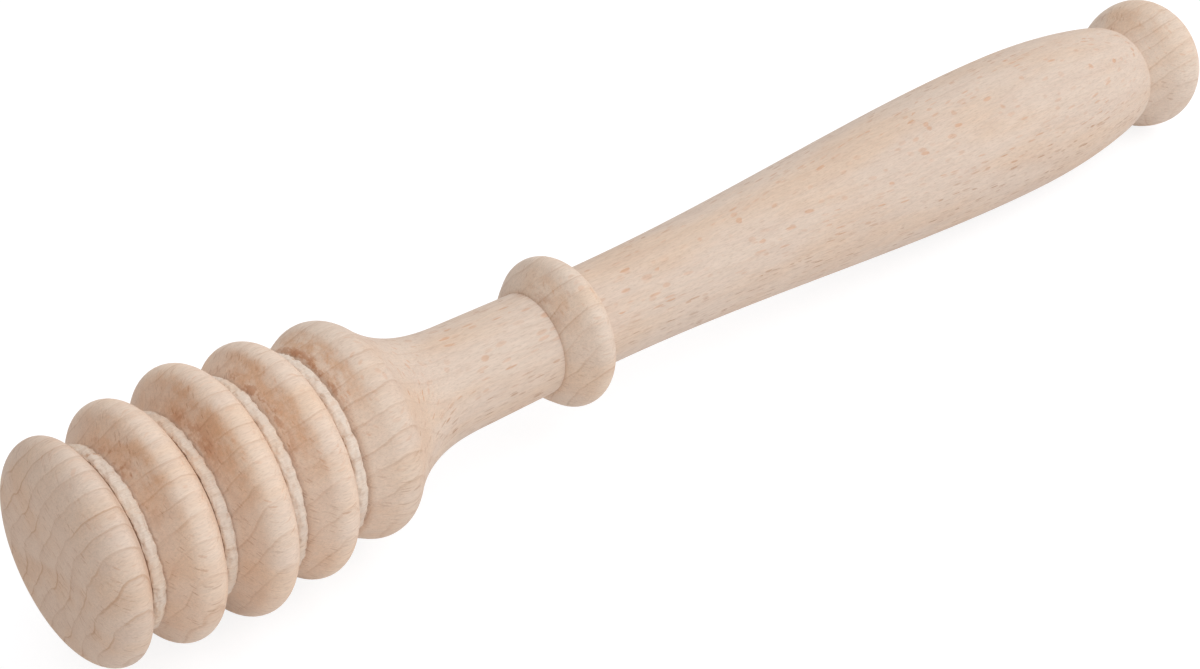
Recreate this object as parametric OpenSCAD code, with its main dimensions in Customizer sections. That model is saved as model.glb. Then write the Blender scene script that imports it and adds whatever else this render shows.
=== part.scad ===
// Honey dipper turned from one length of beech: a ridged head, a neck, a collar, a grip and an end knob.
// It lies on its side, on its widest ridge and its end knob, with the head towards -X.
// Each node is one turned section of the blank, and neighbours meet face to face.

/* [Head] */
// Diameter of the flat end face
face_d = 13; // [8:0.5:16]
// Length of the front ridge, from the end face to the first groove
front_ridge_l = 4.9; // [4:0.1:7]
// Diameter of the front ridge at its crest
front_ridge_d = 21.7; // [20:0.1:26]
// Distance from the end face to the front ridge's crest
front_crest_at = 2.9; // [2:0.1:3.4]
// Radius of the round over the back of the front ridge's crest
front_round_r = 1.45; // [0.8:0.05:1.6]
// Length of the second ridge
ridge_2_l = 5.6; // [4.5:0.1:8]
// Diameter of the second ridge at its crest
ridge_2_d = 23.2; // [21:0.1:28]
// Length of the third ridge
ridge_3_l = 5.4; // [4.5:0.1:8]
// Diameter of the third ridge at its crest, the widest of the head
ridge_3_d = 24.5; // [22.5:0.1:30]
// Length of the fourth ridge
ridge_4_l = 5.4; // [4.5:0.1:8]
// Diameter of the fourth ridge at its crest
ridge_4_d = 23.4; // [21:0.1:28]
// Radius of the round over the crests of the second, third and fourth ridges
ridge_round_r = 1.95; // [1.2:0.05:2.1]
// How far behind its middle a ridge has its crest
crest_lean = 0.35; // [0:0.05:0.6]

/* [Grooves] */
// Width of each groove's flat floor
groove_w = 1.55; // [0.8:0.05:2.5]
// Diameter at the floor of the first groove
groove_1_d = 17.7; // [14:0.1:18.5]
// Diameter at the floor of the second groove
groove_2_d = 18.3; // [14:0.1:19]
// Diameter at the floor of the third groove
groove_3_d = 19.6; // [14:0.1:20]
// Diameter at the floor of the fourth groove
groove_4_d = 18.7; // [14:0.1:19]

/* [Shoulder and neck] */
// Diameter of the shoulder, the last ridge, at its crest
shoulder_d = 21.7; // [20:0.1:27]
// Distance from the fourth groove to the shoulder's crest
shoulder_rise_l = 3.7; // [3.2:0.1:6]
// Radius of the round over the shoulder's crest
shoulder_round_r = 2.9; // [2:0.1:3.1]
// Angle at which the shoulder's round runs out into the hollow flare
flare_angle = 45; // [30:1:55]
// Length of the hollow flare
flare_l = 12.9; // [9:0.1:20]
// Diameter of the neck where the flare ends
neck_d = 11; // [9:0.1:13]
// Length of the straight neck
neck_l = 8.2; // [4:0.1:20]
// Diameter of the neck in the crease before the collar
neck_crease_d = 10.8; // [9:0.1:13]

/* [Collar] */
// Length of the collar between its two creases
collar_l = 6.3; // [5:0.1:9]
// Diameter of the collar at its crest
collar_d = 16; // [14.5:0.1:20]
// Distance from the collar's front crease to its crest
collar_crest_at = 3.5; // [2.5:0.1:4]
// Radius of the round over the collar's crest
collar_round_r = 2; // [1:0.05:2.2]

/* [Grip] */
// Length of the grip
grip_l = 88.7; // [70:0.1:110]
// Diameter of the grip in the crease behind the collar
grip_start_d = 10.7; // [9:0.1:13]
// Diameter of the grip at its belly
belly_d = 17; // [14:0.1:20]
// Distance from the collar to the grip's belly
belly_at = 68; // [45:0.1:75]
// Distance from the grip's end to where it starts to round over
grip_end_l = 3.8; // [2:0.1:6]
// Diameter of the grip where it starts to round over
grip_end_d = 14.2; // [12:0.1:16]
// Taper of the grip towards its rounded end, as a slope
grip_end_slope = 0.18; // [0:0.01:0.4]

/* [End knob] */
// Diameter of the crease between the grip and the knob
knob_crease_d = 11; // [8:0.1:12.5]
// Length of the knob
knob_l = 10.6; // [8:0.1:14]
// Diameter of the knob at its crest
knob_d = 16.1; // [13:0.1:20]
// Distance from the crease to the knob's crest
knob_crest_at = 5.9; // [4:0.1:7]
// Radius of the round that leads up to the knob's crest
knob_round_r = 6.3; // [4:0.1:6.6]

/* [Hidden] */

// Facets round the axis
$fn = 128;
// Steps along a round, and along a long curve
round_steps = 14;
curve_steps = 36;

// Colours of the bare beech
end_wood = [0.80, 0.73, 0.68];
ridge_wood = [0.86, 0.78, 0.71];
groove_wood = [0.90, 0.83, 0.76];
long_wood = [0.88, 0.80, 0.73];

// Stations along the axis, measured from the head's end face
groove_1_at = front_ridge_l;
ridge_2_at = groove_1_at + groove_w;
groove_2_at = ridge_2_at + ridge_2_l;
ridge_3_at = groove_2_at + groove_w;
groove_3_at = ridge_3_at + ridge_3_l;
ridge_4_at = groove_3_at + groove_w;
groove_4_at = ridge_4_at + ridge_4_l;
shoulder_at = groove_4_at + groove_w;
shoulder_crest_at = shoulder_at + shoulder_rise_l;
flare_at = shoulder_crest_at + shoulder_round_r * sin(flare_angle);
neck_at = flare_at + flare_l;
collar_at = neck_at + neck_l;
grip_at = collar_at + collar_l;
knob_at = grip_at + grip_l;
total_l = knob_at + knob_l;

// Radius where the shoulder's round ends and the flare starts
flare_r = shoulder_d / 2 - shoulder_round_r * (1 - cos(flare_angle));
// Station of the widest ridge's crest, and of the knob's
ridge_3_crest_at = ridge_3_at + ridge_3_l / 2 + crest_lean;
knob_crest_station = knob_at + knob_crest_at;

// Lying on a flat surface, the dipper touches it with the rounds of its widest ridge and of its knob.
// The axis tips until one line is tangent to both rounds.
contact_run = knob_crest_station - ridge_3_crest_at;
contact_drop = (ridge_3_d / 2 - ridge_round_r) - (knob_d / 2 - knob_round_r);
lie_tilt = atan2(contact_drop, contact_run)
         + asin((ridge_round_r - knob_round_r) / norm([contact_run, contact_drop]));
lie_height = ridge_3_crest_at * sin(lie_tilt)
           + (ridge_3_d / 2 - ridge_round_r) * cos(lie_tilt) + ridge_round_r;

// Reach of the lying dipper along X, before it is centred: the rim of the end face and the knob's dome
rim_reach = front_crest_at * cos(lie_tilt) - face_d / 2 * sin(lie_tilt)
          - norm([front_crest_at * cos(lie_tilt), (front_ridge_d - face_d) / 2 * sin(lie_tilt)]);
dome_reach = knob_crest_station * cos(lie_tilt)
           + norm([(knob_l - knob_crest_at) * cos(lie_tilt), knob_d / 2 * sin(lie_tilt)]);

// Points are [radius, station]. Angles are measured from straight out at the crest, towards the knob.
function arc_points(at, r, round_r, from, to) =
    [for (i = [0 : round_steps])
        let (a = from + (to - from) * i / round_steps)
        [r + round_r * cos(a), at + round_r * sin(a)]];

// Quarter of an ellipse, from [from_r, from_at] where it runs straight out, to the crest
function rim_points(from_r, from_at, crest_r, crest_at) =
    [for (i = [0 : round_steps])
        let (a = 90 * i / round_steps)
        [from_r + (crest_r - from_r) * sin(a), crest_at - (crest_at - from_at) * cos(a)]];

// Quarter of an ellipse, from the crest to the axis
function dome_points(crest_r, crest_at, end_at) =
    [for (i = [0 : round_steps])
        let (a = 90 * i / round_steps)
        [crest_r * cos(a), crest_at + (end_at - crest_at) * sin(a)]];

// Smooth curve between two stations with a given slope at each end
function curve_points(at_0, r_0, slope_0, at_1, r_1, slope_1) =
    [for (i = [0 : curve_steps])
        let (u = i / curve_steps, l = at_1 - at_0)
        [(2*u*u*u - 3*u*u + 1) * r_0 + (u*u*u - 2*u*u + u) * l * slope_0
         + (3*u*u - 2*u*u*u) * r_1 + (u*u*u - u*u) * l * slope_1,
         at_0 + u * l]];

// Round over an edge from p_0 to p_2, aimed at the corner p_1 at both ends
function edge_points(p_0, p_1, p_2) =
    [for (i = [1 : round_steps])
        let (u = i / round_steps)
        (1 - u) * (1 - u) * p_0 + 2 * u * (1 - u) * p_1 + u * u * p_2];

// Angle on a crest's round at which a straight slope from its foot touches it
function touch_angle(foot_at, foot_r, at, r, round_r) =
    let (run = foot_at - at, rise = foot_r - r)
    atan2(run, rise) - sign(run) * acos(min(1, round_r / norm([run, rise])));

// Outline of a bead: a straight slope, the round over its crest and a straight slope down
function bead_points(front_at, front_r, crest_at, crest_r, round_r, back_at, back_r) =
    let (r = crest_r - round_r)
    concat([[front_r, front_at]],
        arc_points(crest_at, r, round_r,
            touch_angle(front_at, front_r, crest_at, r, round_r),
            touch_angle(back_at, back_r, crest_at, r, round_r)),
        [[back_r, back_at]]);

// Turns an outline into a solid that is closed by flat ends, and lays it where it rests
module turned(outline, from_at, to_at) {
    translate([-(rim_reach + dome_reach) / 2, 0, lie_height])
        rotate([0, 90 + lie_tilt, 0])
            rotate_extrude()
                polygon(concat([[0, from_at]], outline, [[0, to_at]]));
}

// A ridge between two grooves
module ridge(at, l, d, front_d, back_d) {
    color(ridge_wood)
        turned(bead_points(at, front_d / 2, at + l / 2 + crest_lean, d / 2, ridge_round_r,
                           at + l, back_d / 2), at, at + l);
}

// The wood left at the floor of a groove
module groove_core(at, d) {
    color(groove_wood)
        turned([[d / 2, at], [d / 2, at + groove_w]], at, at + groove_w);
}

module front_ridge() {
    crest_r = front_ridge_d / 2;
    round_at_r = crest_r - front_round_r;
    back_angle = touch_angle(front_ridge_l, groove_1_d / 2, front_crest_at, round_at_r, front_round_r);
    color(end_wood)
        turned(concat(rim_points(face_d / 2, 0, crest_r, front_crest_at),
                      arc_points(front_crest_at, round_at_r, front_round_r, 0, back_angle),
                      [[groove_1_d / 2, front_ridge_l]]), 0, front_ridge_l);
}

module groove_core_1() { groove_core(groove_1_at, groove_1_d); }
module ridge_2() { ridge(ridge_2_at, ridge_2_l, ridge_2_d, groove_1_d, groove_2_d); }
module groove_core_2() { groove_core(groove_2_at, groove_2_d); }
module ridge_3() { ridge(ridge_3_at, ridge_3_l, ridge_3_d, groove_2_d, groove_3_d); }
module groove_core_3() { groove_core(groove_3_at, groove_3_d); }
module ridge_4() { ridge(ridge_4_at, ridge_4_l, ridge_4_d, groove_3_d, groove_4_d); }
module groove_core_4() { groove_core(groove_4_at, groove_4_d); }

module shoulder() {
    round_at_r = shoulder_d / 2 - shoulder_round_r;
    front_angle = touch_angle(shoulder_at, groove_4_d / 2, shoulder_crest_at, round_at_r, shoulder_round_r);
    color(ridge_wood)
        turned(concat([[groove_4_d / 2, shoulder_at]],
                      arc_points(shoulder_crest_at, round_at_r, shoulder_round_r,
                                 front_angle, flare_angle)), shoulder_at, flare_at);
}

module neck() {
    color(long_wood)
        turned(concat(curve_points(flare_at, flare_r, -tan(flare_angle), neck_at, neck_d / 2, 0),
                      [[neck_crease_d / 2, collar_at]]), flare_at, collar_at);
}

module collar() {
    color(ridge_wood)
        turned(bead_points(collar_at, neck_crease_d / 2, collar_at + collar_crest_at, collar_d / 2,
                           collar_round_r, grip_at, grip_start_d / 2), collar_at, grip_at);
}

module grip() {
    belly = grip_at + belly_at;
    end_at = knob_at - grip_end_l;
    end_r = grip_end_d / 2;
    corner_r = end_r - grip_end_slope * grip_end_l;
    swell = curve_points(grip_at, grip_start_d / 2, 0, belly, belly_d / 2, 0);
    taper = curve_points(belly, belly_d / 2, 0, end_at, end_r, -grip_end_slope);
    end_round = edge_points([end_r, end_at], [corner_r, knob_at], [knob_crease_d / 2, knob_at]);
    color(long_wood)
        turned(concat(swell, [for (i = [1 : curve_steps]) taper[i]], end_round), grip_at, knob_at);
}

module end_knob() {
    crest_r = knob_d / 2;
    round_at_r = crest_r - knob_round_r;
    front_angle = touch_angle(knob_at, knob_crease_d / 2, knob_crest_station, round_at_r, knob_round_r);
    dome = dome_points(crest_r, knob_crest_station, total_l);
    color(ridge_wood)
        turned(concat([[knob_crease_d / 2, knob_at]],
                      arc_points(knob_crest_station, round_at_r, knob_round_r, front_angle, 0),
                      [for (i = [1 : round_steps - 1]) dome[i]]), knob_at, total_l);
}

front_ridge();
groove_core_1();
ridge_2();
groove_core_2();
ridge_3();
groove_core_3();
ridge_4();
groove_core_4();
shoulder();
neck();
collar();
grip();
end_knob();
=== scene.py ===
import math

import bpy
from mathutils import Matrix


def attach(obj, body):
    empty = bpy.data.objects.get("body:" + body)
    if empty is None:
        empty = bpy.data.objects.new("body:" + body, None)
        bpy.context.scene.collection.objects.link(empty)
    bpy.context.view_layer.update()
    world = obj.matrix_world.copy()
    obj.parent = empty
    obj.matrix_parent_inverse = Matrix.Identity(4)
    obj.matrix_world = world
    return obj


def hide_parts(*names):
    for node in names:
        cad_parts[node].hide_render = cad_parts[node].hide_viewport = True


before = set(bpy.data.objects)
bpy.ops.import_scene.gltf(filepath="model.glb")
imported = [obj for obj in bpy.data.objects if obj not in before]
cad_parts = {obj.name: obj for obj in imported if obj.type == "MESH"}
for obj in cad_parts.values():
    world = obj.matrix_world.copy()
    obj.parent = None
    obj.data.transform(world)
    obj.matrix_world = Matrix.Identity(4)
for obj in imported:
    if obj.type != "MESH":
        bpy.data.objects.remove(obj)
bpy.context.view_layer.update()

# The front ridge: the first of the head's five ridges. Like every other section it is cut in one blank of
# beech, turned between centres, sanded and left bare. It is faced off flat and rounded over at its rim,
# and its face is end grain, browner than the sides, which the growth rings cross as slanting lines.
MM = 0.001
# Radii and stations are in millimetres. Stations run along the axis from the head's flat end face, and
# the axis slopes down to the knob, because the dipper lies on its widest ridge and its knob.
HEAD_END = (-79.842 * MM, 0.0, 12.749 * MM)
AXIS_SLOPE = math.radians(1.735)
# The growth rings cross the blank almost as flat planes: this is their turn about the axis
RING_TURN = math.radians(32.3)
FRONT_RIDGE_L = 4.9
GROOVE_W = 1.55
GROOVE_R = (8.85, 9.15, 9.8, 9.35)
face_r = 6.5
front_crest_r = 10.85
front_crest_at = 2.9
front_round_r = 1.45
front_tone = (0.69, 0.56, 0.465, 1)


def along_round(at, radius, round_r, start, end, steps=14, reach=None):
    """Points (radius, station) on a round, or on an oval with another reach along the axis.

    The angles are measured from its crest towards the knob."""
    reach = round_r if reach is None else reach
    turns = [math.radians(start + (end - start) * i / steps) for i in range(steps + 1)]
    return [(radius + round_r * math.cos(a), at + reach * math.sin(a)) for a in turns]


def touch_angle(foot_at, foot_r, at, radius, round_r):
    """Where a straight slope from its foot touches a crest's round."""
    run, rise = foot_at - at, foot_r - radius
    open_angle = math.degrees(math.acos(min(1.0, round_r / math.hypot(run, rise))))
    return math.degrees(math.atan2(run, rise)) - math.copysign(open_angle, run)


def turn(name, outline, step=0.3, facets=240):
    """Turns an outline about the axis as a lathe does, with closed ends, and lays it in its place."""
    flat_end_step = 3.0
    weld = 0.002 * MM
    smooth_below = math.radians(35)
    closed = [(0.0, outline[0][1])] + outline + [(0.0, outline[-1][1])]
    fine = [closed[0]]
    for i, ((r_0, at_0), (r_1, at_1)) in enumerate(zip(closed, closed[1:])):
        longest = flat_end_step if i in (0, len(closed) - 2) else step
        pieces = max(1, math.ceil(math.hypot(r_1 - r_0, at_1 - at_0) / longest))
        fine += [(r_0 + (r_1 - r_0) * j / pieces, at_0 + (at_1 - at_0) * j / pieces)
                 for j in range(1, pieces + 1)]
    bpy.ops.object.select_all(action="DESELECT")
    bpy.ops.mesh.primitive_plane_add(size=MM, location=(0, 0, 0))
    piece = bpy.context.object
    piece.name = name
    piece.data.name = name
    bpy.ops.object.mode_set(mode="EDIT")
    bpy.ops.mesh.select_all(action="SELECT")
    bpy.ops.mesh.merge(type="CENTER")
    bpy.ops.transform.translate(value=(fine[0][0] * MM, 0, fine[0][1] * MM))
    for (r_0, at_0), (r_1, at_1) in zip(fine, fine[1:]):
        move = ((r_1 - r_0) * MM, 0, (at_1 - at_0) * MM)
        bpy.ops.mesh.extrude_vertices_move(TRANSFORM_OT_translate={"value": move})
    bpy.ops.mesh.select_all(action="SELECT")
    bpy.ops.mesh.spin(steps=facets, angle=math.tau, center=(0, 0, 0), axis=(0, 0, 1))
    bpy.ops.mesh.select_all(action="SELECT")
    bpy.ops.mesh.remove_doubles(threshold=weld)
    bpy.ops.mesh.normals_make_consistent(inside=False)
    bpy.ops.object.mode_set(mode="OBJECT")
    piece.location = HEAD_END
    piece.rotation_euler = (0, math.pi / 2 + AXIS_SLOPE, 0)
    bpy.ops.object.transform_apply(location=True, rotation=True, scale=True)
    bpy.ops.object.shade_smooth_by_angle(angle=smooth_below)
    return piece


def fill_sockets(tree, sockets, values):
    """Links each value that is a socket, and sets each other one."""
    for socket, value in zip(sockets, values):
        if isinstance(value, bpy.types.NodeSocket):
            tree.links.new(value, socket)
        elif value is not None:
            socket.default_value = value


def math_node(tree, operation, a, b=None, c=None):
    """One Math node whose inputs are numbers or sockets."""
    node = tree.nodes.new("ShaderNodeMath")
    node.operation = operation
    fill_sockets(tree, node.inputs, (a, b, c))
    return node.outputs[0]


def blend_colour(tree, amount, base, tint, mode="MULTIPLY"):
    """Lays a tint over a colour; each may be a socket or a plain colour.

    A Mix node keeps its colours in inputs 6 and 7 and in output 2."""
    node = tree.nodes.new("ShaderNodeMix")
    node.data_type = "RGBA"
    node.blend_type = mode
    fill_sockets(tree, (node.inputs[0], node.inputs[6], node.inputs[7]), (amount, base, tint))
    return node.outputs[2]


def stretched(tree, vector, scale):
    """The wood's coordinates stretched along its own directions: axis, across the rings, along them."""
    node = tree.nodes.new("ShaderNodeMapping")
    fill_sockets(tree, (node.inputs["Scale"], node.inputs["Vector"]), (scale, vector))
    return node.outputs["Vector"]


def wood_noise(tree, vector, scale, detail=2.0, rough=0.5):
    """Noise whose features lie about 1 / scale millimetres apart in each direction."""
    node = tree.nodes.new("ShaderNodeTexNoise")
    node.inputs["Scale"].default_value = 1.0
    node.inputs["Detail"].default_value = detail
    node.inputs["Roughness"].default_value = rough
    tree.links.new(stretched(tree, vector, scale), node.inputs["Vector"])
    return node.outputs["Fac"]


def band(tree, value, low, high, out_low=0.0, out_high=1.0):
    """A smooth step of a value between two limits."""
    node = tree.nodes.new("ShaderNodeMapRange")
    node.interpolation_type = "SMOOTHSTEP"
    sockets = [node.inputs[label] for label in ("Value", "From Min", "From Max", "To Min", "To Max")]
    fill_sockets(tree, sockets, (value, low, high, out_low, out_high))
    return node.outputs["Result"]


def reach_along(tree, vector, direction):
    """How far a vector, such as a normal or a place, reaches along a direction."""
    node = tree.nodes.new("ShaderNodeVectorMath")
    node.operation = "DOT_PRODUCT"
    fill_sockets(tree, node.inputs, (vector, direction))
    return node.outputs["Value"]


def make_beech_grain():
    """Bare beech through the whole blank: rings, fibres, ray flecks and end grain, in millimetres."""
    group = bpy.data.node_groups.new("beech_grain", "ShaderNodeTree")
    for label, kind in (("Wood", "Vector"), ("Normal", "Vector"), ("Base", "Color"),
                        ("Ring strength", "Float"), ("Fleck strength", "Float")):
        group.interface.new_socket(label, in_out="INPUT", socket_type="NodeSocket" + kind)
    for label, kind in (("Color", "Color"), ("Roughness", "Float"), ("Height", "Float")):
        group.interface.new_socket(label, in_out="OUTPUT", socket_type="NodeSocket" + kind)
    enter = group.nodes.new("NodeGroupInput")
    leave = group.nodes.new("NodeGroupOutput")
    wood, normal = enter.outputs["Wood"], enter.outputs["Normal"]

    # Slow patches, some pinker and some greyer
    pink, grey = (1.0, 0.945, 0.885, 1), (0.955, 0.94, 0.94, 1)
    patch = wood_noise(group, wood, (0.05, 0.22, 0.22), detail=3.0)
    colour = blend_colour(group, band(group, patch, 0.42, 0.68), enter.outputs["Base"], pink)
    cloud = wood_noise(group, wood, (0.16, 0.5, 0.5), detail=3.0, rough=0.6)
    colour = blend_colour(group, band(group, cloud, 0.35, 0.75), colour, grey)

    # End grain soaks up light: the more a surface faces along the axis, the browner it is
    end_brown = (0.93, 0.865, 0.81, 1)
    along = reach_along(group, normal, (math.cos(AXIS_SLOPE), 0, -math.sin(AXIS_SLOPE)))
    colour = blend_colour(group, math_node(group, "MULTIPLY", along, along), colour, end_brown)

    # Growth rings: nearly flat sheets, waved at three scales, each ending in a thin broken darker line
    ring_gap, ring_brown = 1.9, (0.74, 0.60, 0.50, 1)
    split = group.nodes.new("ShaderNodeSeparateXYZ")
    group.links.new(wood, split.inputs[0])
    wave = wood_noise(group, wood, (0.03, 0.07, 0.07))
    ragged = wood_noise(group, wood, (0.8, 0.9, 0.9))
    wobble = wood_noise(group, wood, (0.12, 0.22, 0.22))
    ring_at = split.outputs["Y"]
    for bend, millimetres in ((wave, 3.6), (ragged, 0.22), (wobble, 1.7)):
        ring_at = math_node(group, "MULTIPLY_ADD", bend, millimetres, ring_at)
    ring = math_node(group, "FRACT", math_node(group, "DIVIDE", ring_at, ring_gap))
    late_wood = math_node(group, "MULTIPLY", band(group, ring, 0.3, 0.9), 0.3)
    edge = math_node(group, "MULTIPLY", band(group, ring, 0.84, 0.93),
                     band(group, wobble, 0.40, 0.60, 0.25, 1.0))
    line = math_node(group, "MULTIPLY", math_node(group, "ADD", late_wood, edge),
                     band(group, ring, 0.95, 1.0, 1.0, 0.0))
    amount = math_node(group, "MULTIPLY", line, enter.outputs["Ring strength"])
    colour = blend_colour(group, amount, colour, ring_brown)

    # Fibres along the grain, pale, with finer dark ones between them
    pale_fibre, dark_fibre = (1.09, 1.08, 1.08, 1), (0.90, 0.875, 0.86, 1)
    fibre = wood_noise(group, wood, (0.5, 4.5, 4.5), detail=4.0, rough=0.65)
    colour = blend_colour(group, band(group, fibre, 0.36, 0.66), colour, pale_fibre)
    fine = wood_noise(group, wood, (1.6, 11.0, 11.0))
    colour = blend_colour(group, band(group, fine, 0.48, 0.72), colour, dark_fibre)

    # Ray flecks: thin sheets that run out from the tree's middle, cut open where the surface meets them.
    # Where it lies along them they are broad and orange, and where it crosses them short dark dashes.
    dash, fleck = (0.68, 0.54, 0.46, 1), (0.94, 0.76, 0.65, 1)
    along_rings = (math.sin(AXIS_SLOPE) * math.cos(RING_TURN), -math.sin(RING_TURN), math.cos(RING_TURN))
    broad = math_node(group, "ABSOLUTE", reach_along(group, normal, along_rings))
    tint = blend_colour(group, band(group, broad, 0.45, 0.9), dash, fleck, mode="MIX")
    mask = None
    for stretch, share, reach in (((0.125, 0.30, 1.45), 0.12, 0.60), ((0.18, 0.22, 0.85), 0.06, 0.58)):
        cells = group.nodes.new("ShaderNodeTexVoronoi")
        group.links.new(stretched(group, wood, stretch), cells.inputs["Vector"])
        tone = group.nodes.new("ShaderNodeSeparateColor")
        group.links.new(cells.outputs["Color"], tone.inputs[0])
        distance = math_node(group, "MULTIPLY_ADD", fibre, 0.22, cells.outputs["Distance"])
        sheet = band(group, distance, reach * 0.75, reach * 1.15, 1.0, 0.0)
        chosen = band(group, tone.outputs["Red"], 0.92 - share, 1.08 - share)
        depth = band(group, tone.outputs["Green"], 0.0, 1.0, 0.35, 1.0)
        layer = math_node(group, "MULTIPLY", math_node(group, "MULTIPLY", sheet, chosen), depth)
        mask = layer if mask is None else math_node(group, "MAXIMUM", mask, layer)
    amount = math_node(group, "MULTIPLY", mask, enter.outputs["Fleck strength"])
    colour = blend_colour(group, amount, colour, tint)

    group.links.new(colour, leave.inputs["Color"])
    group.links.new(math_node(group, "MULTIPLY_ADD", fibre, 0.12, 0.60), leave.inputs["Roughness"])
    height = math_node(group, "MULTIPLY_ADD", fibre, 0.6, math_node(group, "MULTIPLY", fine, 0.4))
    height = math_node(group, "SUBTRACT", height, math_node(group, "MULTIPLY", mask, 0.25))
    group.links.new(height, leave.inputs["Height"])
    return group


BEECH_GRAIN = make_beech_grain()


def beech(name, base, ring_strength, fleck_strength=1.0):
    """A material of bare beech, with the grain running on through the blank.

    Its Mapping node gives a point's place in the wood: along the axis, across the rings, along them."""
    material = bpy.data.materials.new(name)
    material.use_nodes = True
    tree = material.node_tree
    place = tree.nodes.new("ShaderNodeTexCoord")
    wood = tree.nodes.new("ShaderNodeMapping")
    wood.name = "wood"
    wood.vector_type = "TEXTURE"
    wood.inputs["Location"].default_value = HEAD_END
    wood.inputs["Rotation"].default_value = (RING_TURN, AXIS_SLOPE, 0)
    wood.inputs["Scale"].default_value = (MM, MM, MM)
    tree.links.new(place.outputs["Object"], wood.inputs["Vector"])
    grain = tree.nodes.new("ShaderNodeGroup")
    grain.name = "grain"
    grain.node_tree = BEECH_GRAIN
    fill_sockets(tree, grain.inputs, (wood.outputs["Vector"], place.outputs["Normal"], base,
                                      ring_strength, fleck_strength))
    shader = tree.nodes["Principled BSDF"]
    shader.inputs["Specular IOR Level"].default_value = 0.25
    tree.links.new(grain.outputs["Color"], shader.inputs["Base Color"])
    tree.links.new(grain.outputs["Roughness"], shader.inputs["Roughness"])
    relief = tree.nodes.new("ShaderNodeBump")
    relief.inputs["Strength"].default_value = 0.25
    relief.inputs["Distance"].default_value = 0.05 * MM
    tree.links.new(grain.outputs["Height"], relief.inputs["Height"])
    tree.links.new(relief.outputs["Normal"], shader.inputs["Normal"])
    return material


def set_in_dipper(piece, material):
    """Gives a turned section its wood, hangs it under the root body, and hides the solid of the
    construction it stands for.
    """
    piece.data.materials.clear()
    piece.data.materials.append(material)
    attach(piece, "root")
    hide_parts(piece.name.replace("turned_", ""))


rim_outline = along_round(front_crest_at, face_r, front_crest_r - face_r, -90, 0, steps=15,
                          reach=front_crest_at)
front_round_at_r = front_crest_r - front_round_r
back_angle = touch_angle(FRONT_RIDGE_L, GROOVE_R[0], front_crest_at, front_round_at_r, front_round_r)
back_round = along_round(front_crest_at, front_round_at_r, front_round_r, 0, back_angle)
front_outline = rim_outline + back_round[1:] + [(GROOVE_R[0], FRONT_RIDGE_L)]
front_wood = beech("front_ridge_beech", front_tone, 0.5, fleck_strength=0.5)
set_in_dipper(turn("turned_front_ridge", front_outline), front_wood)

# The second, third and fourth ridges: rounded beads of the head, which hold the honey between them.
# They are cut with a skew and sanded round their crests. Low on their front slopes they are darker, with
# painted shade and orange-brown patches.
ridge_sizes = (("ridge_2", 5.6, 11.6), ("ridge_3", 5.4, 12.25), ("ridge_4", 5.4, 11.7))
crest_lean = 0.35
ridge_round_r = 1.95
ridge_tone = (0.76, 0.615, 0.505, 1)
# How far the foot of a slope laps over the groove's floor
FOOT_LAP = 0.15


def creased_foot(at, radius):
    """The foot of a front slope, which dips under the groove's floor in a narrow crease."""
    sink, lift, run = 0.45, 0.10, 0.30
    return [(radius - sink, at - FOOT_LAP), (radius + lift, at + run)]


def bead(front_at, front_r, crest_at, crest_r, round_r, back_at, back_r):
    """A slope up from its crease, the round over the crest, and a slope down under the next floor."""
    sink = 0.4
    r = crest_r - round_r
    first = touch_angle(front_at, front_r, crest_at, r, round_r)
    last = touch_angle(back_at, back_r, crest_at, r, round_r)
    return (creased_foot(front_at, front_r) + along_round(crest_at, r, round_r, first, last)
            + [(back_r, back_at), (back_r - sink, back_at + FOOT_LAP)])


def station_of(tree):
    """The station of a point of the wood, in millimetres from the head's end."""
    split = tree.nodes.new("ShaderNodeSeparateXYZ")
    tree.links.new(tree.nodes["wood"].outputs["Vector"], split.inputs[0])
    return split.outputs["X"]


def slope_shade_and_patches(material, from_at, reach, radius, around=-16, strength=0.8, shift=0.0):
    """Painted shade with orange-brown patches, low on a slope on one side, from a station on for a reach.

    The side is given in degrees around the axis, from the top towards +Y. The shift makes the patches
    differ from one piece to the next."""
    # Tints of painted shade: with orange-brown patches low on the slope, and darker in the crease
    patch_and_shade_tint, crease_shade_tint = (0.86, 0.66, 0.50, 1), (0.66, 0.42, 0.28, 1)
    to_at = from_at + reach
    tree = material.node_tree
    vector = tree.nodes["wood"].outputs["Vector"]
    at = station_of(tree)
    turned = math.radians(around - 90) + RING_TURN
    side = reach_along(tree, vector, (0, math.cos(turned), -math.sin(turned)))
    side = band(tree, side, radius * 0.50, radius * 0.95)
    ramp = (to_at - from_at) * 0.4
    near = math_node(tree, "MULTIPLY", band(tree, at, from_at - 0.1, from_at + 0.25),
                     band(tree, at, to_at - ramp, to_at, 1.0, 0.0))
    # Right in the crease the painted shade is darker still, in short streaks drawn out along the turn
    crease = math_node(tree, "MULTIPLY", band(tree, at, from_at - 0.1, from_at + 0.1),
                       band(tree, at, from_at + 0.3, from_at + 1.1, 1.0, 0.0))
    spots = wood_noise(tree, vector, (0.55 + shift, 0.42, 0.42), detail=4.0, rough=0.6)
    marks = wood_noise(tree, vector, (1.1 + shift, 0.55, 0.55), detail=3.0, rough=0.65)
    colour = tree.nodes["grain"].outputs["Color"]
    for where, patches, tint in ((near, band(tree, spots, 0.38, 0.62, 0.2, 1.0), patch_and_shade_tint),
                                 (crease, band(tree, marks, 0.45, 0.58), crease_shade_tint)):
        amount = math_node(tree, "MULTIPLY", math_node(tree, "MULTIPLY", where, patches), side)
        amount = math_node(tree, "MULTIPLY", amount, strength)
        colour = blend_colour(tree, amount, colour, tint)
    tree.links.new(colour, tree.nodes["Principled BSDF"].inputs["Base Color"])


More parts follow.
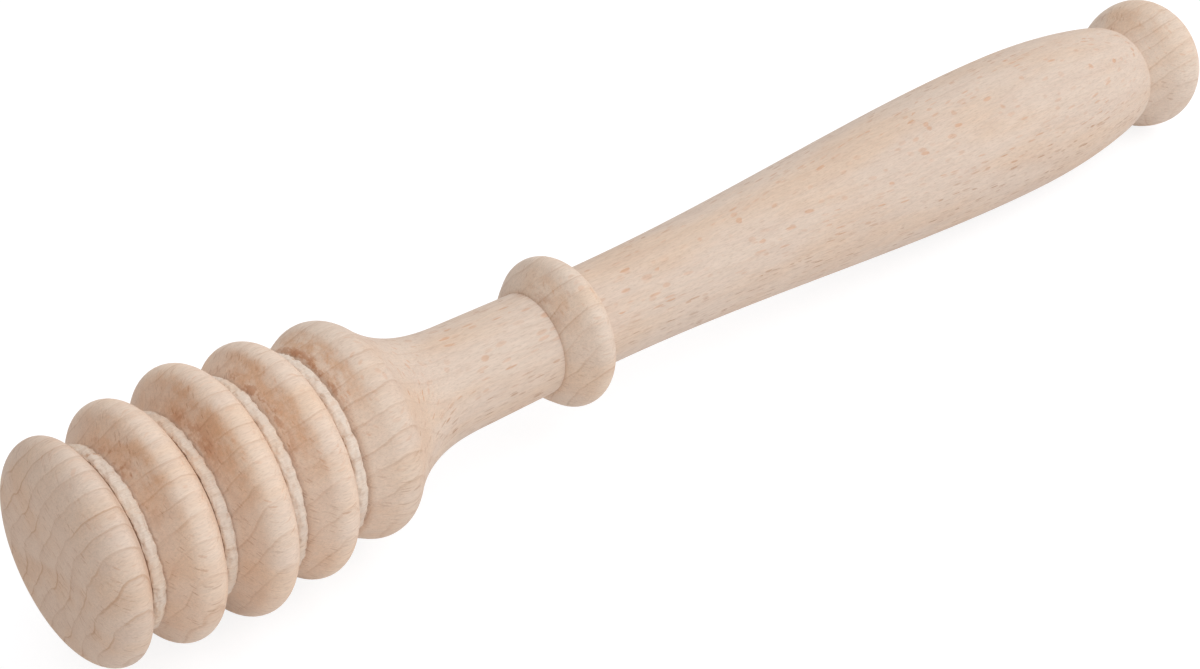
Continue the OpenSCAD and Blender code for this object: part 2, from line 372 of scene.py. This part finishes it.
station = FRONT_RIDGE_L + GROOVE_W
groove_stations = [FRONT_RIDGE_L]
for i, (name, length, crest_r) in enumerate(ridge_sizes):
    outline = bead(station, GROOVE_R[i], station + length / 2 + crest_lean, crest_r, ridge_round_r,
                   station + length, GROOVE_R[i + 1])
    ridge_wood = beech(name + "_beech", ridge_tone, 0.32, fleck_strength=0.6)
    # Painted shade with orange-brown patches low on the ridge's front slope, by its crease
    slope_shade_and_patches(ridge_wood, station, 2.6, crest_r, shift=0.1 * i)
    set_in_dipper(turn("turned_" + name, outline), ridge_wood)
    groove_stations.append(station + length)
    station += length + GROOVE_W
SHOULDER_AT = station

# The groove cores: the wood at the floor of the four grooves. The narrow tool tears the fibres there, so
# the floor is paler and rougher than the sanded ridges, like a thin cord. The darker line each side of it
# is painted shade in the creases beside the ridges, mixed with brown stains in patches.
floor_round_r = 1.1
floor_sink = 0.84
torn_depth = 0.34
# Where the painted crease shade starts and where it is full, in millimetres from the cord's middle
flank_from, flank_to = 0.45, 0.78
torn_tone = (0.74, 0.64, 0.55, 1)
# The tint of the painted shade at the cord's edges and of its brown stains
edge_shade_and_stain_tone = (0.80, 0.64, 0.52, 1)
torn = bpy.data.textures.new("torn_fibres", "CLOUDS")
torn.noise_scale = 0.75 * MM
torn.noise_depth = 2
half_turn = math.degrees(math.asin(GROOVE_W / 2 / floor_round_r))
for i, (groove_at, groove_r) in enumerate(zip(groove_stations, GROOVE_R)):
    middle_at = groove_at + GROOVE_W / 2
    outline = along_round(middle_at, groove_r - floor_sink, floor_round_r, -half_turn, half_turn)
    core = turn(f"turned_groove_core_{i + 1}", outline, step=0.1, facets=420)
    tear = core.modifiers.new("tear", "DISPLACE")
    tear.texture = torn
    tear.texture_coords = "LOCAL"
    tear.mid_level = 1.0
    tear.strength = torn_depth * MM
    bpy.ops.object.modifier_apply(modifier="tear")
    groove_wood = beech(f"groove_core_{i + 1}_beech", torn_tone, 0.2, fleck_strength=0.4)
    tree = groove_wood.node_tree
    off_middle = math_node(tree, "ABSOLUTE", math_node(tree, "SUBTRACT", station_of(tree), middle_at))
    # Painted shade: the cord darkens towards both edges, in the creases beside the ridges
    groove_edge_shade = band(tree, off_middle, flank_from, flank_to)
    scorch = wood_noise(tree, tree.nodes["wood"].outputs["Vector"], (0.3, 0.5, 0.5), detail=4.0, rough=0.65)
    # Painted crease shade and brown stain patches, mixed into one tint
    edge_shade_and_stain = math_node(tree, "MAXIMUM", groove_edge_shade, band(tree, scorch, 0.60, 0.70, 0.0, 0.9))
    colour = blend_colour(tree, edge_shade_and_stain, tree.nodes["grain"].outputs["Color"], edge_shade_and_stain_tone)
    tree.links.new(colour, tree.nodes["Principled BSDF"].inputs["Base Color"])
    set_in_dipper(core, groove_wood)

# The shoulder: the last ridge, whose back runs out into the hollow flare of the neck.
# It is one with the neck in the real blank, and the two meet where the round turns hollow.
shoulder_crest_at = SHOULDER_AT + 3.7
shoulder_r = 10.85
shoulder_round_r = 2.9
flare_angle = 45
tone_change_at = shoulder_crest_at - 1.5
shoulder_tone = (0.735, 0.60, 0.495, 1)
NECK_TONE = (0.68, 0.557, 0.465, 1)
first = touch_angle(SHOULDER_AT, GROOVE_R[3], shoulder_crest_at, shoulder_r - shoulder_round_r,
                    shoulder_round_r)
shoulder_outline = creased_foot(SHOULDER_AT, GROOVE_R[3]) + along_round(
    shoulder_crest_at, shoulder_r - shoulder_round_r, shoulder_round_r, first, flare_angle, steps=24)
flare_r, FLARE_AT = shoulder_outline[-1]
shoulder_wood = beech("shoulder_beech", shoulder_tone, 0.35, fleck_strength=0.6)
tree = shoulder_wood.node_tree
to_neck = band(tree, station_of(tree), tone_change_at, FLARE_AT)
base = blend_colour(tree, to_neck, shoulder_tone, NECK_TONE, mode="MIX")
tree.links.new(base, tree.nodes["grain"].inputs["Base"])
# Painted shade with orange-brown patches low on the shoulder's front slope, by its crease
slope_shade_and_patches(shoulder_wood, SHOULDER_AT, 2.8, shoulder_r, around=0, shift=0.35)
set_in_dipper(turn("turned_shoulder", shoulder_outline), shoulder_wood)

# The neck: a hollow flare that thins to a straight neck, slim enough for the notch of a honey pot's lid.
# It is sanded smooth as it turns on the lathe.
neck_at = FLARE_AT + 12.9
neck_r = 5.5
COLLAR_AT = FLARE_AT + 21.1
NECK_CREASE_R = 5.4


def swept_curve(at_0, r_0, slope_0, at_1, r_1, slope_1, steps=40):
    """A smooth curve between two stations with a given slope at each end."""
    points, run = [], at_1 - at_0
    for i in range(steps + 1):
        u = i / steps
        r = ((2 * u**3 - 3 * u**2 + 1) * r_0 + (u**3 - 2 * u**2 + u) * run * slope_0
             + (3 * u**2 - 2 * u**3) * r_1 + (u**3 - u**2) * run * slope_1)
        points.append((r, at_0 + u * run))
    return points


neck_outline = swept_curve(FLARE_AT, flare_r, -math.tan(math.radians(flare_angle)), neck_at, neck_r, 0)
neck_outline.append((NECK_CREASE_R, COLLAR_AT))
neck_wood = beech("neck_beech", NECK_TONE, 0.15)
set_in_dipper(turn("turned_neck", neck_outline, facets=192), neck_wood)

# The collar: a bead between the neck and the grip, with a long front slope and a short back.
# It stops the fingers, and keeps the grip clear of the pot's lid.
collar_r = 8.0
collar_round_r = 2.0
collar_crest_at = COLLAR_AT + 3.5
collar_touch_angle = 36
collar_tone = (0.72, 0.595, 0.495, 1)
GRIP_AT = COLLAR_AT + 6.3
GRIP_START_R = 5.35


def bent(start, corner, end, steps=14):
    """A curve from start to end that leaves and arrives along the lines to a corner."""
    points = []
    for i in range(steps + 1):
        u = i / steps
        points.append(tuple((1 - u)**2 * start[k] + 2 * u * (1 - u) * corner[k] + u * u * end[k]
                            for k in (0, 1)))
    return points


collar_round_at_r = collar_r - collar_round_r
last = touch_angle(GRIP_AT, GRIP_START_R, collar_crest_at, collar_round_at_r, collar_round_r)
crest_round = along_round(collar_crest_at, collar_round_at_r, collar_round_r, -collar_touch_angle, last)
touch_r, touch_at = crest_round[0]
lift_r = touch_r - math.tan(math.radians(collar_touch_angle)) * (touch_at - COLLAR_AT)
collar_outline = bent((NECK_CREASE_R, COLLAR_AT), (lift_r, COLLAR_AT), (touch_r, touch_at))
collar_outline += crest_round[1:] + [(GRIP_START_R, GRIP_AT)]
collar_wood = beech("collar_beech", collar_tone, 0.35, fleck_strength=0.5)
# Painted shade with orange-brown patches low on the collar's front slope, by its crease
slope_shade_and_patches(collar_wood, COLLAR_AT, 2.4, collar_r, around=-20, strength=0.55, shift=0.2)
set_in_dipper(turn("turned_collar", collar_outline, facets=192), collar_wood)

# The grip: the long handle, which swells to a belly that fills the fingers and is rounded over at its
# end. Its upper side shows broad ray flecks, and its lower side the same rays end on, as short dashes.
belly_at = GRIP_AT + 68
belly_r = 8.5
KNOB_AT = GRIP_AT + 88.7
KNOB_CREASE_R = 5.5
grip_end_at = KNOB_AT - 3.8
grip_end_r = 7.1
grip_end_slope = 0.18
grip_tone = (0.68, 0.555, 0.462, 1)
grip_outline = swept_curve(GRIP_AT, GRIP_START_R, 0, belly_at, belly_r, 0, steps=90)
grip_outline += swept_curve(belly_at, belly_r, 0, grip_end_at, grip_end_r, -grip_end_slope, steps=30)[1:]
corner_r = grip_end_r - grip_end_slope * (KNOB_AT - grip_end_at)
grip_outline += bent((grip_end_r, grip_end_at), (corner_r, KNOB_AT), (KNOB_CREASE_R, KNOB_AT))[1:]
grip_wood = beech("grip_beech", grip_tone, 0.1)
set_in_dipper(turn("turned_grip", grip_outline, step=0.5, facets=192), grip_wood)

# The end knob: a flattened ball that ends the handle and keeps it from slipping through the fingers.
# Its dome is end grain.
knob_r = 8.05
knob_round_r = 6.3
knob_crest_at = KNOB_AT + 5.9
knob_end_at = KNOB_AT + 10.6
knob_tone = (0.725, 0.60, 0.50, 1)
first = touch_angle(KNOB_AT, KNOB_CREASE_R, knob_crest_at, knob_r - knob_round_r, knob_round_r)
knob_outline = [(KNOB_CREASE_R, KNOB_AT)]
knob_outline += along_round(knob_crest_at, knob_r - knob_round_r, knob_round_r, first, 0)
knob_outline += along_round(knob_crest_at, 0, knob_r, 5, 85, steps=16, reach=knob_end_at - knob_crest_at)
knob_wood = beech("end_knob_beech", knob_tone, 0.3, fleck_strength=0.6)
# Painted shade with orange-brown patches low on the knob's front, by its crease
slope_shade_and_patches(knob_wood, KNOB_AT, 4.5, knob_r, around=0, strength=0.4, shift=0.15)
set_in_dipper(turn("turned_end_knob", knob_outline, facets=192), knob_wood)

# The table: a plain white floor that takes a soft shadow. To the camera it is a grey paint with a glow,
# so that it looks nearly white and still shows the shadow.
bpy.ops.object.select_all(action="DESELECT")
bpy.ops.mesh.primitive_plane_add(size=6.0, location=(0, 0, 0))
table = bpy.context.object
table.name = "table"
table_paint = bpy.data.materials.new("table_paint")
table_paint.use_nodes = True
tree = table_paint.node_tree
paint = tree.nodes["Principled BSDF"]
paint.inputs["Roughness"].default_value = 0.9
paint.inputs["Specular IOR Level"].default_value = 0.1
rays = tree.nodes.new("ShaderNodeLightPath")
mirrored = math_node(tree, "MAXIMUM", rays.outputs["Is Glossy Ray"], rays.outputs["Is Transmission Ray"])
seen = math_node(tree, "MAXIMUM", rays.outputs["Is Camera Ray"], mirrored)
white_paint, grey_paint = (0.92, 0.92, 0.93, 1), (0.27, 0.27, 0.28, 1)
glow_strength = 0.83
shown_paint = blend_colour(tree, seen, white_paint, grey_paint, mode="MIX")
tree.links.new(shown_paint, paint.inputs["Base Color"])
glow = tree.nodes.new("ShaderNodeEmission")
tree.links.new(math_node(tree, "MULTIPLY", seen, glow_strength), glow.inputs["Strength"])
both = tree.nodes.new("ShaderNodeAddShader")
tree.links.new(paint.outputs[0], both.inputs[0])
tree.links.new(glow.outputs[0], both.inputs[1])
tree.links.new(both.outputs[0], tree.nodes["Material Output"].inputs["Surface"])
table.data.materials.append(table_paint)

# The light: a bright white room that is dimmer towards the head's end, so that the end face and the
# ridges' front slopes lie in soft shade, with one broad lamp at the camera's right. To the camera the
# room is plain white.
room_light = 0.74
room_tilt = 0.33
bright_side = (0.80, -0.50, 0.33)
world = bpy.data.worlds.new("white_room")
bpy.context.scene.world = world
world.use_nodes = True
room = world.node_tree
way = room.nodes.new("ShaderNodeTexCoord")
towards = reach_along(room, way.outputs["Generated"], bright_side)
shade = math_node(room, "MULTIPLY_ADD", towards, room_tilt, room_light)
rays = room.nodes.new("ShaderNodeLightPath")
seen = math_node(room, "MAXIMUM", rays.outputs["Is Camera Ray"], rays.outputs["Is Transmission Ray"])
room.nodes["Background"].inputs["Color"].default_value = (1, 1, 1, 1)
room.links.new(math_node(room, "MAXIMUM", shade, seen), room.nodes["Background"].inputs["Strength"])
lamp_data = bpy.data.lights.new("soft_lamp", "AREA")
lamp_data.size = 0.6
lamp_data.energy = 1.5
lamp = bpy.data.objects.new("soft_lamp", lamp_data)
lamp.location = (0.35, -0.30, 0.60)
lamp.rotation_euler = (math.radians(27), math.radians(30), 0)
bpy.context.collection.objects.link(lamp)

# The camera: a long lens close over the head end, which looks down along the dipper to its knob.
# Its two turns are in degrees: down from level, and round from +X towards +Y.
camera_down = 34.267
camera_heading = 48.277
camera_data = bpy.data.cameras.new("camera")
camera_data.lens = 65.84
camera_data.sensor_width = 36.0
camera_data.clip_start = 0.01
camera = bpy.data.objects.new("camera", camera_data)
camera.location = (-140.87 * MM, -139.90 * MM, 135.70 * MM)
camera.rotation_euler = (math.radians(90 - camera_down), 0, math.radians(camera_heading - 90))
bpy.context.collection.objects.link(camera)
bpy.context.scene.camera = camera
bpy.context.scene.view_settings.view_transform = "Standard"
